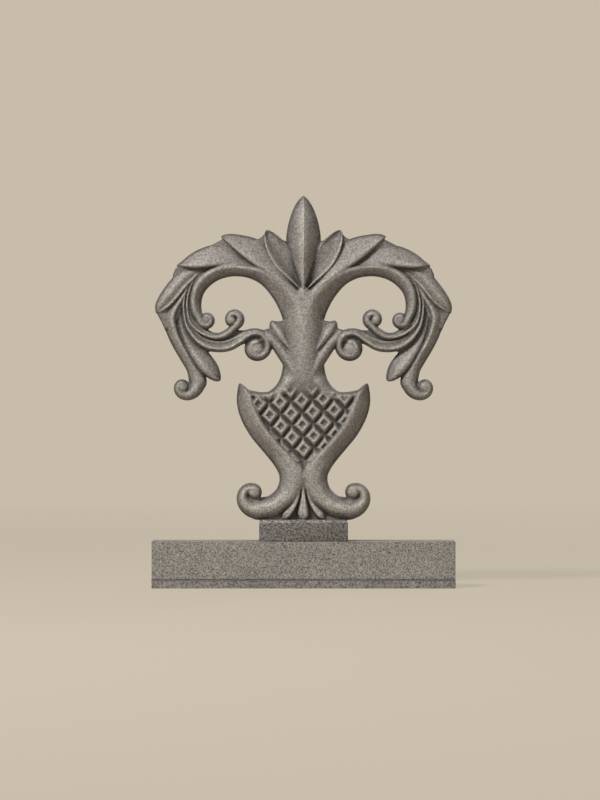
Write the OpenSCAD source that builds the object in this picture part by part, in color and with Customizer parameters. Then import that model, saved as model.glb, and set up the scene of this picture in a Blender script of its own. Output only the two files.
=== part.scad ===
// Cast-iron fence finial on a length of rail.
// A leafed crown spreads into two scrolled arms over a stem, and the stem widens into
// a studded shield that stands on two base scrolls and a plinth.
// Millimetres, +Z up, the front faces -Y, and the origin is the bottom centre of the rail.
// The ornament's points are [x, z] from the middle of the plinth's top, on the +X side.

/* [Ornament] */
// Height of the ornament above its plinth
ornament_h = 286; // [260:2:310]
// Spread of the arms between the outer leaf tips
ornament_w = 262; // [240:2:284]
// Front to back depth of the ornament at its stem
ornament_d = 31; // [28:1:34]
// Width of one diamond stud between its side corners
stud_w = 19; // [16:0.5:19.5]
// Height of the diamond studs above the shield's field
stud_rise = 4; // [3:0.5:5]

/* [Plinth] */
// Height of the plinth under the scrolls
plinth_h = 19; // [16:1:24]
// Width of the plinth along the rail
plinth_w = 78; // [72:1:90]
// Depth of the plinth across the rail
plinth_d = 37; // [36:1:39]
// Chamfer round the plinth's top edge
plinth_chamfer = 1.5; // [1:0.5:3]

/* [Rail] */
// Length of rail that carries the finial
rail_l = 267; // [200:1:400]
// Height of the rail with its lip
rail_h = 41; // [36:1:50]
// Depth of the rail above its lip
rail_d = 40; // [40:1:50]
// Height of the lip along the rail's foot
lip_h = 7; // [5:0.5:10]
// How far the lip stands out, front and back
lip_out = 2.5; // [1:0.5:4]

/* [Fixing bolt] */
// Diameter of the bolt's shank
bolt_d = 10; // [8:1:12]
// Width of the bolt's square head
head_w = 16; // [14:1:18]
// Thickness of the bolt's head
head_h = 7; // [6:0.5:8]
// Length of the shank inside the plinth
bolt_grip = 13; // [10:0.5:15]

/* [Hidden] */
iron = "dimgray";
rail_iron = "slategray";
bolt_steel = "gray";
eps = 0.01;

// The ornament is drawn at this size, and the driving dimensions stretch it
drawn_h = 286;
drawn_w = 262;
drawn_d = 31;
kx = ornament_w / drawn_w;
kz = ornament_h / drawn_h;
kd = ornament_d / drawn_d;
kw = min(kx, kz);
ornament_z = rail_h + plinth_h;

// Bolt hole, and the recess that hides the head under the rail
bolt_gap = 0.3;
recess_gap = 3;
recess_h = head_h + 2;
recess_d = head_w * sqrt(2) + recess_gap;

// Half-depths of the flat webs that back the open work
arm_web_d = 5 * kd;
leaf_web_d = 7 * kd;
field_d = 8 * kd;
apron_d = 10 * kd;

// Cross-sections: [across, rise] from the right to the left of the way a limb runs,
// where 1 is the limb's own half-width and its own rise
ROUND = [[-1, 0.4], [-0.55, 0.85], [0, 1], [0.55, 0.85], [1, 0.4]];
RIM = [[-1, 0.62], [-0.45, 1], [0.35, 0.88], [1, 0.32]];
TENT = [[-1, 0.4], [0, 1], [1, 0.4]];
DISH = [[-1, 0.6], [-0.8, 1], [0, 0.5], [0.8, 1], [1, 0.6]];
FOLD = [[-1, 0.45], [-0.78, 1], [0, 0.72], [1, 0.35]];
BENT = [[-1, 0.4], [-0.4, 0.8], [0.25, 1], [1, 0.4]];
FLUTE = [[-1, 0.6], [-0.4, 0.6], [0.4, 1], [1, 0.45]];
KEEL = [[-1, 0.62], [-0.62, 1], [0.1, 0.7], [1, 0.4]];

// Control rows of a limb are [x, z, half-width, rise]
CROWN_LEAF = [[0, 203.5, 0.7, 14.5], [0, 225, 7.5, 16.5], [0, 239.5, 12.7, 16], [0, 247, 15.2, 15.2],
  [0, 257, 14.3, 13.5], [0, 266.5, 12, 11], [0, 275.5, 8.6, 8], [0, 282, 4.8, 5], [0, 286, 0.7, 2.5]];
DISH_LEAF = [[2, 203, 0.7, 13], [11.5, 218, 6, 13.5], [17.5, 227.5, 8.7, 13], [22.5, 236.5, 9.2, 12],
  [27, 244.5, 7.4, 10.5], [30.5, 251, 4.1, 8.5], [32.5, 255, 0.7, 5]];
UPPER_LEAF = [[5.5, 202, 2.7, 11], [14.5, 211, 5.7, 13], [24.5, 222, 9.3, 13], [35, 231, 11.5, 12.5],
  [46.5, 238.5, 10.6, 11.5], [57, 244, 7.6, 10], [66, 248, 4.4, 8], [72.5, 250, 0.7, 5]];
SHOULDER_LEAF = [[43, 226, 1.5, 8], [54.5, 230.5, 5.3, 10], [66, 234, 8.5, 11], [77.5, 234, 8.8, 11],
  [88, 231.5, 8.3, 10.5], [97, 228.5, 6.5, 9.5], [105, 226, 3.4, 7.5], [112, 224, 0.7, 4.5]];
OUTER_LEAF = [[91.5, 220.5, 1.8, 8], [101, 216, 6.2, 10], [109.5, 209, 7.6, 10.5], [116, 201, 7.8, 10],
  [121.5, 194, 7.1, 9.5], [126.5, 188, 4.8, 7.5], [130, 182.5, 0.7, 4.5]];
ARCH = [[3, 150, 12, 13.5], [5, 166, 12.2, 14], [7, 180, 12, 14.5], [12.5, 193.5, 11.8, 14.3],
  [22, 205, 9.8, 13.5], [33, 213.5, 7.6, 12.5], [44.5, 218, 6, 11.5], [55.5, 220, 5.6, 11],
  [67, 220, 6, 11], [78.5, 216.5, 6.2, 11], [87.5, 210, 6.2, 11], [93, 202, 5.7, 10.5],
  [95, 193, 5.1, 10], [94.5, 184, 4.7, 9.5]];
CURL_STRAND = [[93.5, 216.5, 1.1, 6], [98.5, 206.5, 1.4, 7.5], [102, 192, 1.8, 9], [100.5, 178, 2.3, 9],
  [96, 170.5, 2.7, 9], [88, 164, 3, 9], [78, 161, 3.1, 9], [68, 162.5, 3.9, 9]];
CROSS_STRAND = [[96.5, 213.5, 1.1, 6], [102, 204, 1.4, 7], [105, 190, 1.9, 8.5], [103, 174, 2.6, 9.5],
  [98.5, 165.5, 3.3, 10], [92, 158.5, 4.1, 10], [83.5, 154, 4.9, 10], [74.5, 152.5, 5, 10],
  [65, 154, 5, 10], [56, 159, 4.6, 10], [49, 163.5, 4.2, 10], [43, 165, 3.9, 10]];
DROP_STRAND = [[102, 208, 1.8, 6], [109, 196.5, 4, 8], [116, 186.5, 5.6, 9], [118.8, 177, 6, 9.5],
  [116.6, 167.5, 5.5, 9.5], [113.3, 158.7, 5.1, 9.5], [108.6, 149.8, 5, 9.5], [103.5, 141, 4.8, 9.5],
  [98.3, 132.5, 5.2, 9.5]];
DROP_LEAF = [[107, 192.5, 1.2, 6], [108, 180, 2.8, 7.5], [105, 167, 4.4, 8.5], [99, 154.5, 6.2, 9],
  [90.5, 143, 8, 9.5], [83, 133.5, 7.8, 8.8], [77.5, 126.5, 4.6, 7], [74, 123, 0.7, 4]];
BUD = [[13.5, 150, 0.7, 12], [18.5, 158, 3.7, 12.5], [23, 166, 5.3, 11.5], [26.5, 171.5, 3.2, 9],
  [28, 175, 0.7, 6]];
SHEATH = [[8.5, 127, 0.9, 11], [12.5, 137, 3.5, 13], [18, 146.5, 5, 12.5], [23.5, 154.5, 4.9, 11.5],
  [29, 160.5, 4.2, 10], [33, 166, 2.1, 8]];
TRUNK = [[0, 206, 3, 12], [0, 198, 12, 14], [0, 188, 16, 15], [0, 176, 17.4, 15.5],
  [0, 150, 17.4, 15.5], [0, 135.5, 18.4, 15], [0, 125, 20.6, 14.5], [0, 118, 24.6, 14],
  [0, 112, 31, 13], [0, 105.5, 34, 10]];
SIDE_SCROLL = [[56, 119.3, 1.8, 6], [54, 113, 4.8, 9], [52.5, 105.5, 7.1, 12], [50.3, 97, 8, 13.5],
  [46.5, 88, 8.2, 14], [40.2, 77.7, 8.2, 14], [32.6, 68.5, 8.2, 14], [25, 59.7, 8.4, 14],
  [17.3, 51, 9.2, 14.5], [12, 42.5, 10.2, 15], [11, 34, 10.6, 15.5], [16, 21, 9.8, 16],
  [26.5, 12.3, 9.4, 16.5]];
COLLAR = [[54, 113, 2.7, 7], [45.5, 110.5, 3.2, 9.5], [35.5, 109, 3.4, 11], [27, 110.5, 3.7, 12],
  [20, 116, 4.4, 13], [14.5, 124, 5.3, 13]];
FAN_MIDDLE = [[0, 30, 0.7, 12], [0, 21, 2.5, 14], [0, 11, 4.4, 16], [0, -0.5, 5.6, 17]];
FAN_SIDE = [[2.5, 25, 0.7, 11.5], [6, 16.5, 1.9, 13.5], [10.6, 8, 2.8, 15.5], [15.5, -0.5, 3.4, 17]];

// Flat webs behind the open work, as outlines on the +X side
LEAF_WEB = [[0, 244], [17, 246], [28, 247], [34.5, 252], [37, 249.3], [41, 247], [50, 240],
  [71, 247.5], [76, 245], [80, 243], [86, 236], [109, 224.5], [113, 221.5], [115.5, 216], [113, 206],
  [130, 183], [127, 177], [122, 168], [112, 176], [100, 205], [80, 220], [50, 222], [12, 200], [0, 198]];
FIELD = [[0, 118], [21, 114], [34, 110], [48, 110], [47, 98], [35, 81], [20, 64], [11, 53], [0, 44]];
ARM_WEB = [[64, 227], [94, 227], [115, 208], [123, 180], [115, 159], [99, 136], [90, 127], [80, 130],
  [85, 148], [66, 150.5], [51, 155.5], [50, 167], [60, 167], [76, 162.5], [84, 167.5], [95, 178], [95, 198], [88, 211],
  [76, 220], [64, 222]];
STEM_WEB = [[15, 176], [28, 174], [29.5, 169.5], [33.5, 166.5], [41, 168], [38, 158], [30, 156], [10, 130]];
APRON = [[0, 54], [14, 46], [28, 10], [38, -0.5], [0, -0.5]];

// Diamond studs stand on a lattice of this pitch, from the lowest one up
stud_pitch_x = 10;
stud_pitch_z = 10.5;
stud_z0 = 62.3;
stud_rows = 5;
stud_cols = 4;
stud_top = 0.7;
stud_sink = 0.42;
sink_depth = 2;

// Angle between the control rows of a volute
volute_step = 36;

// Control rows that wind round an eye: radius and width shrink fast, then slowly to a blunt tip
function volute(eye, from, sweep, r, w, rise) = let (n = ceil(abs(sweep) / volute_step), way = sign(sweep))
  concat([for (i = [0 : n]) let (ease = pow(1 - i / n, 3))
    volute_row(eye, from + sweep * i / n, r[1] + (r[0] - r[1]) * ease, w[1] + (w[0] - w[1]) * ease,
      rise[0] + (rise[1] - rise[0]) * i / n)],
    [volute_row(eye, from + sweep + way * volute_step / 2, r[1] - w[1] / 4, w[1] / 3, rise[1] * 0.8)]);
function volute_row(eye, a, r, w, rise) = [eye[0] + r * cos(a), eye[1] + r * sin(a), w, rise];

// A row at the ornament's real size
function sized(r) = [r[0] * kx, r[1] * kz, r[2] * kw, r[3] * kd];

// Closed ring of points: the section in front and its mirror behind
function ring(r, dir, section) = let (m = len(section), across = [-dir[1], dir[0]]) [
  for (k = [0 : 2 * m - 1]) let (s = k < m ? section[k] : section[2 * m - 1 - k], side = k < m ? -1 : 1)
    [r[0] + across[0] * s[0] * r[2], side * s[1] * r[3], r[1] + across[1] * s[0] * r[2]]];

// Unit direction of a limb at one of its rows
function heading(rows, i) = let (d = rows[min(i + 1, len(rows) - 1)] - rows[max(i - 1, 0)])
  [d[0], d[1]] / norm([d[0], d[1]]);

// A limb or leaf: its section carried along the rows
module limb(control, section) {
  rows = [for (r = control) sized(r)];
  n = len(rows);
  m = 2 * len(section);
  points = [for (i = [0 : n - 1]) each ring(rows[i], heading(rows, i), section)];
  sides = [for (i = [0 : n - 2], k = [0 : m - 1]) let (l = (k + 1) % m)
    each [[i * m + k, i * m + l, (i + 1) * m + l], [i * m + k, (i + 1) * m + l, (i + 1) * m + k]]];
  start = [for (k = [m - 1 : -1 : 0]) k];
  end = [for (k = [0 : m - 1]) (n - 1) * m + k];
  polyhedron(points, concat([start], sides, [end]), convexity = 8);
}

// A flat web from an outline on the +X side, as deep behind as in front
module web(outline, half_d) {
  rotate([90, 0, 0]) linear_extrude(2 * half_d, center = true)
    polygon([for (p = outline) [p[0] * kx, p[1] * kz]]);
}

// A flat disc that backs a volute
module volute_disc(eye, r, half_d) {
  translate([eye[0] * kx, 0, eye[1] * kz]) rotate([90, 0, 0])
    cylinder(r = r * kw, h = 2 * half_d * kd, center = true, $fn = 12);
}

// Both sides of what is drawn on the +X side
module both_sides() {
  children();
  mirror([1, 0, 0]) children();
}

// Three leaves over the stem: a pointed one between two hollowed ones
module crown() {
  limb(CROWN_LEAF, TENT);
  both_sides() limb(DISH_LEAF, DISH);
}

// Leaves that overlap from the crown out along the arm
module arm_leaves() {
  for (leaf = [UPPER_LEAF, SHOULDER_LEAF, OUTER_LEAF]) limb(leaf, FOLD);
  web(LEAF_WEB, leaf_web_d);
}

// Inner limb of the arm, which ends in a small scroll
module arch() {
  eye = [85.3, 176];
  limb(concat(ARCH, volute(eye, 10, -300, [6.6, 3.5], [4.2, 3.3], [9.5, 9.5])), BENT);
  volute_disc(eye, 4.6, 6);
}

// Thin strand that curls up from the arm
module curl_strand() {
  eye = [61, 177];
  limb(concat(CURL_STRAND, volute(eye, -74, -320, [11.3, 4.2], [4.4, 3.7], [9.5, 10])), FLUTE);
  volute_disc(eye, 7.5, 6);
}

// Strand that crosses to the stem and curls down beside it
module cross_strand() {
  eye = [41.2, 150.8];
  limb(concat(CROSS_STRAND, volute(eye, 108, 342, [13.5, 5.4], [3.9, 3.8], [10, 11])), FLUTE);
  volute_disc(eye, 11, 7);
}

// Outermost strand, which drops to a scroll at the arm's end, and the leaf beside it
module drop_strand() {
  eye = [107, 116.5];
  limb(concat(DROP_STRAND, volute(eye, 155, 290, [14.8, 3.8], [7.8, 3.3], [9.5, 10])), KEEL);
  volute_disc(eye, 7, 6.5);
  limb(DROP_LEAF, BENT);
}

// Stem under the crown, with the small leaves that clasp it
module stem() {
  limb(TRUNK, ROUND);
  both_sides() {
    limb(BUD, TENT);
    limb(SHEATH, FOLD);
    web(STEM_WEB, leaf_web_d);
  }
}

// One four-sided stud with a small sunk square in its top
module stud(x, z) {
  corner = stud_w / 2;
  depth = field_d + stud_rise;
  translate([x * kx, 0, z * kz]) rotate([90, 0, 0]) difference() {
    hull() {
      cylinder(r = corner * kw, h = 2 * field_d, center = true, $fn = 4);
      cylinder(r = corner * stud_top * kw, h = 2 * depth, center = true, $fn = 4);
    }
    for (face = [0, 1]) mirror([0, 0, face]) translate([0, 0, depth - sink_depth])
      cylinder(r1 = eps, r2 = corner * stud_sink * kw, h = sink_depth + eps, $fn = 4);
  }
}

// Studs in staggered rows, kept inside the shield's field
module studs() {
  intersection() {
    both_sides() web(FIELD, field_d + stud_rise);
    for (j = [0 : stud_rows], i = [-stud_cols : stud_cols])
      if ((i + j) % 2 == 0 && abs(i) <= j + 1) stud(i * stud_pitch_x, stud_z0 + j * stud_pitch_z);
  }
}

// Shield: a sunk field of studs inside a rim that runs on down into the base scrolls
module shield() {
  eye = [46, 22.3];
  both_sides() {
    web(FIELD, field_d);
    limb(COLLAR, TENT);
    limb(concat(SIDE_SCROLL, volute(eye, 240, 285, [15, 5.2], [9.8, 4.2], [16.5, 15.5])), RIM);
    volute_disc(eye, 8.5, 10);
  }
  studs();
}

// Three small leaves that fan out between the base scrolls
module fan() {
  both_sides() {
    web(APRON, apron_d);
    limb(FAN_SIDE, TENT);
  }
  limb(FAN_MIDDLE, TENT);
}

// Plain block under the scrolls, chamfered round its top
module plinth() {
  hull() {
    translate([0, 0, plinth_h / 2 - plinth_chamfer / 2])
      cube([plinth_w, plinth_d, plinth_h - plinth_chamfer], center = true);
    translate([0, 0, plinth_h / 2])
      cube([plinth_w - 2 * plinth_chamfer, plinth_d - 2 * plinth_chamfer, plinth_h], center = true);
  }
}

// The whole casting, with the hole in its foot for the fixing bolt
module finial() {
  color(iron) difference() {
    union() {
      translate([0, 0, rail_h]) plinth();
      translate([0, 0, ornament_z]) {
        crown();
        both_sides() {
          arm_leaves();
          arch();
          curl_strand();
          cross_strand();
          drop_strand();
          web(ARM_WEB, arm_web_d);
        }
        stem();
        shield();
        fan();
      }
    }
    translate([0, 0, rail_h - eps])
      cylinder(r = bolt_d / 2 + bolt_gap, h = bolt_grip + 1 + eps, $fn = 32);
  }
}

// Rail profile, drawn across the rail
module rail_profile() {
  square_x = rail_d / 2;
  lip_x = square_x + lip_out;
  polygon([[-lip_x, 0], [lip_x, 0], [lip_x, lip_h], [square_x, lip_h], [square_x, rail_h],
    [-square_x, rail_h], [-square_x, lip_h], [-lip_x, lip_h]]);
}

// Length of rail, drilled for the bolt and recessed for its head
module rail() {
  color(rail_iron) difference() {
    translate([-rail_l / 2, 0, 0]) rotate([90, 0, 90]) linear_extrude(rail_l) rail_profile();
    translate([0, 0, -eps]) cylinder(r = bolt_d / 2 + bolt_gap, h = rail_h + 2 * eps, $fn = 48);
    translate([0, 0, -eps]) cylinder(r = recess_d / 2, h = recess_h + eps, $fn = 48);
  }
}

// Square-headed bolt that holds the casting down from inside the rail
module fixing_bolt() {
  color(bolt_steel) {
    translate([0, 0, recess_h - head_h / 2]) cube([head_w, head_w, head_h], center = true);
    translate([0, 0, recess_h]) cylinder(r = bolt_d / 2, h = rail_h - recess_h + bolt_grip, $fn = 48);
  }
}

finial();
rail();
fixing_bolt();
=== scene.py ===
"""Cast-iron fence finial on its rail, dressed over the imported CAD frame.

The casting is carved here the way a patternmaker carves a two-part pattern: every limb, leaf
and stud raises the height of one relief over the middle plane, and the relief is the same in
front and behind. Its points are those of the part's source, in millimetres from the middle of
the plinth's top, [x, z] on the +X side. Meshes are made in metres in the frame's own place.
"""

from __future__ import annotations

import logging
import math
from dataclasses import dataclass
from enum import Enum

import bmesh
import bpy
import numpy as np
import openvdb
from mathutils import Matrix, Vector

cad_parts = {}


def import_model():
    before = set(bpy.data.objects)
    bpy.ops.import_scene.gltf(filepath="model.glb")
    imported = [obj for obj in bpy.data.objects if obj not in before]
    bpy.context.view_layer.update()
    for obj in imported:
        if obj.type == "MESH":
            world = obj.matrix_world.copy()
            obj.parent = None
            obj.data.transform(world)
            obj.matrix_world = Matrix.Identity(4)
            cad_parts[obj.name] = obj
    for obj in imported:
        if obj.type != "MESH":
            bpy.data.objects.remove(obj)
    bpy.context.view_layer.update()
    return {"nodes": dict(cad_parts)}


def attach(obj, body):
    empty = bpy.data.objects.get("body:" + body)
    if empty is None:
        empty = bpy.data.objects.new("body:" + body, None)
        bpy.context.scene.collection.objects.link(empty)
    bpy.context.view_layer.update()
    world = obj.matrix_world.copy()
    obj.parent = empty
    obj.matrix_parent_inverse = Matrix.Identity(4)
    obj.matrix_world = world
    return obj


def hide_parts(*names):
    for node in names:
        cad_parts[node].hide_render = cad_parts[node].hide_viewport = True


log = logging.getLogger("finial")

MM = 0.001
ORNAMENT_Z = 60.0  # height of the plinth's top over the rail's foot
FAR = -50.0  # height where nothing is laid yet
CURVE_STEPS = 6  # rows that a smooth curve has for each control row
BODY = "root"

Row = tuple[float, float, float, float]  # x, z, half-width, rise
Point = tuple[float, float]


# ---------------------------------------------------------------- small helpers


def linear(hex_colour: str) -> tuple[float, float, float, float]:
    """Turns an sRGB hex colour into a linear one.

    Args:
        hex_colour: colour such as "#7A726A".

    Returns:
        Linear red, green and blue, and an alpha of 1.
    """
    parts = [int(hex_colour[i : i + 2], 16) / 255 for i in (1, 3, 5)]
    red, green, blue = (c / 12.92 if c <= 0.04045 else ((c + 0.055) / 1.055) ** 2.4 for c in parts)
    return red, green, blue, 1.0


def per_metre(size_mm: float) -> float:
    """Gives the texture scale at which a pattern repeats about every size_mm."""
    return 1.0 / (size_mm * MM)


def add_node(
    tree: bpy.types.NodeTree,
    kind: str,
    inputs: dict[str | int, object] | None = None,
    **settings: object,
) -> bpy.types.Node:
    """Adds a node with its settings and links.

    Args:
        tree: node tree of a material or world.
        kind: Blender's name of the node type.
        inputs: value, or output socket to link, for each input by name or number.
        settings: properties of the node.

    Returns:
        The new node.
    """
    node = tree.nodes.new(kind)
    for name, value in settings.items():
        setattr(node, name, value)
    for key, value in (inputs or {}).items():
        if isinstance(value, bpy.types.NodeSocket):
            tree.links.new(value, node.inputs[key])
        else:
            node.inputs[key].default_value = value
    return node


def blank_material(name: str) -> tuple[bpy.types.Material, bpy.types.NodeTree]:
    """Makes a material with no nodes, and gives its node tree too.

    Args:
        name: what the material is called.

    Returns:
        The material and its empty node tree.
    """
    material = bpy.data.materials.new(name)
    material.use_nodes = True
    material.node_tree.nodes.clear()
    return material, material.node_tree


def curve_through(rows: np.ndarray, steps: int) -> np.ndarray:
    """Puts more rows between control rows, on a smooth curve through them.

    Args:
        rows: control rows, one to a line.
        steps: new rows for each gap.

    Returns:
        The denser rows, first and last unchanged.
    """
    padded = np.vstack([rows[:1], rows, rows[-1:]])
    u = (np.arange(steps) / steps)[:, None]
    out = []
    for a, b, c, d in zip(padded, padded[1:], padded[2:], padded[3:]):
        out.append(
            0.5
            * (
                2 * b
                + u * (c - a)
                + u**2 * (2 * a - 5 * b + 4 * c - d)
                + u**3 * (3 * b - a - 3 * c + d)
            )
        )
    return np.vstack(out + [rows[-1:]])


def join_max(a: np.ndarray, b: np.ndarray, fillet: float) -> np.ndarray:
    """Takes the higher of two surfaces, with a fillet where they meet.

    Args:
        a: first heights.
        b: second heights.
        fillet: height over which the two run together.

    Returns:
        The joined heights.
    """
    gap = np.maximum(fillet - np.abs(a - b), 0.0)
    return np.maximum(a, b) + gap**2 / (4.0 * max(fillet, 1e-6))


def blur(field: np.ndarray, sigma: float) -> np.ndarray:
    """Smooths a 2-D field with a Gaussian of sigma grid steps.

    Args:
        field: values on a grid.
        sigma: spread in grid steps.

    Returns:
        The smoothed values.
    """
    reach = max(1, int(math.ceil(3 * sigma)))
    taps = np.exp(-0.5 * (np.arange(-reach, reach + 1) / sigma) ** 2)
    taps /= taps.sum()
    for axis in (0, 1):
        wide = np.pad(field, [(reach, reach) if k == axis else (0, 0) for k in (0, 1)], mode="edge")
        at = np.arange(field.shape[axis])
        field = sum(tap * np.take(wide, at + i, axis=axis) for i, tap in enumerate(taps))
    return field


# ---------------------------------------------------------------- carving


class Section(Enum):
    """Cross-sections: (across, rise) from the right to the left of the way a limb runs."""

    ROUND = (
        (-1, 0.12), (-0.9, 0.4), (-0.7, 0.68), (-0.4, 0.91), (0, 1), (0.4, 0.91), (0.7, 0.68),
        (0.9, 0.4), (1, 0.12),
    )  # fmt: skip
    RIM = (
        (-1, 0.55), (-0.9, 0.84), (-0.74, 0.98), (-0.55, 1), (-0.28, 0.9), (0.05, 0.71),
        (0.4, 0.49), (0.75, 0.25), (1, 0.04),
    )  # fmt: skip
    TENT = ((-1, 0.7), (0, 1), (1, 0.7))
    BLADE = ((-1, 0.12), (0, 1), (1, 0.12))
    DISH = (
        (-1, 0.6), (-0.94, 0.94), (-0.87, 1), (-0.74, 0.86), (-0.45, 0.6), (0, 0.48), (0.4, 0.5),
        (0.74, 0.6), (0.88, 0.78), (1, 0.6),
    )  # fmt: skip
    HOLLOW = (
        (-1, 0.6), (-0.94, 0.94), (-0.87, 1), (-0.74, 0.86), (-0.45, 0.58), (0, 0.42), (0.4, 0.38),
        (0.75, 0.4), (1, 0.45),
    )  # fmt: skip
    LIP = (
        (-1, 0.35), (-0.93, 0.8), (-0.82, 0.98), (-0.68, 0.86), (-0.52, 0.74), (-0.2, 0.88),
        (0.15, 0.92), (0.55, 0.74), (0.85, 0.45), (1, 0.15),
    )  # fmt: skip
    TONGUE = (
        (-1, 0.5), (-0.75, 0.84), (-0.4, 0.98), (0, 0.94), (0.4, 0.98), (0.75, 0.84), (1, 0.5),
    )  # fmt: skip
    FOLD = (
        (-1, 0.35), (-0.88, 0.86), (-0.7, 1), (-0.35, 0.92), (0.1, 0.76), (0.55, 0.58),
        (0.85, 0.38), (1, 0.15),
    )  # fmt: skip
    BENT = (
        (-1, 0.1), (-0.85, 0.32), (-0.5, 0.56), (-0.1, 0.8), (0.2, 0.96), (0.4, 1), (0.75, 0.88),
        (1, 0.45),
    )  # fmt: skip
    FLUTE = (
        (-1, 0.42), (-0.85, 0.62), (-0.6, 0.6), (-0.3, 0.55), (0.05, 0.78), (0.35, 1),
        (0.62, 0.92), (0.85, 0.62), (1, 0.25),
    )  # fmt: skip
    KEEL = (
        (-1, 0.35), (-0.88, 0.72), (-0.66, 1), (-0.42, 1), (-0.1, 0.82), (0.3, 0.6), (0.7, 0.34),
        (1, 0.05),
    )  # fmt: skip
    HEEL = (
        (-1, 0.88), (-0.8, 0.94), (-0.5, 0.99), (-0.2, 1), (0.2, 0.95), (0.5, 0.82), (0.75, 0.6),
        (0.92, 0.35), (1, 0.1),
    )  # fmt: skip

    def rise(self, across: np.ndarray) -> np.ndarray:
        """Gives the share of the full rise at each place across the limb.

        Args:
            across: place across, from -1 to 1.

        Returns:
            Share of the rise.
        """
        rows = np.array(self.value, float)
        if self not in (Section.TENT, Section.BLADE):  # these two have straight facets
            rows = curve_through(rows, CURVE_STEPS)
        return np.interp(across, rows[:, 0], rows[:, 1])


@dataclass(frozen=True)
class Limb:
    """A tapered limb or leaf: control rows, the section that they carry, and how it joins.

    The section turns into the tail's from tail_from, a share of the length, to the end. A limb
    that lies over hides what is under it, and an upright one runs straight up or down.
    """

    rows: tuple[Row, ...]
    section: Section
    join: float = 0.8  # fillet where it meets what is there
    fall: float = 2.5  # for each mm outside its edge
    tail: Section | None = None
    tail_from: float = 0.6
    over: bool = False
    upright: bool = False


@dataclass(frozen=True)
class Volute:
    """Scroll end that winds round an eye, fast at first and then slowly to a blunt tip."""

    eye: Point
    start: float  # angle where it starts, in degrees
    sweep: float  # angle that it winds through
    radius: Point  # first and last
    width: Point  # first and last half-width
    rise: Point  # first and last
    step: float = 12.0  # degrees from one control row to the next

    def rows(self) -> tuple[Row, ...]:
        """Gives the control rows along the scroll.

        Returns:
            Rows from where the scroll starts to its tip.
        """
        count = math.ceil(abs(self.sweep) / self.step)
        out = []
        for i in range(count + 1):
            share = i / count
            ease = (1 - share) ** 3
            angle = math.radians(self.start + self.sweep * share)
            r = self.radius[1] + (self.radius[0] - self.radius[1]) * ease
            w = self.width[1] + (self.width[0] - self.width[1]) * ease
            h = self.rise[0] + (self.rise[1] - self.rise[0]) * share
            out.append((self.eye[0] + r * math.cos(angle), self.eye[1] + r * math.sin(angle), w, h))
        return tuple(out)


@dataclass(frozen=True)
class Web:
    """Flat web behind the open work, as an outline on the +X side.

    A web that spans reaches over the middle to its own mirror image.
    """

    outline: tuple[Point, ...]
    half_depth: float
    spans: bool = False

    def whole(self) -> tuple[Point, ...]:
        """Gives the outline, with its mirror image where the web spans.

        Returns:
            Points all the way round.
        """
        if not self.spans:
            return self.outline
        return self.outline + tuple((-x, z) for x, z in self.outline[::-1] if x)


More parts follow.
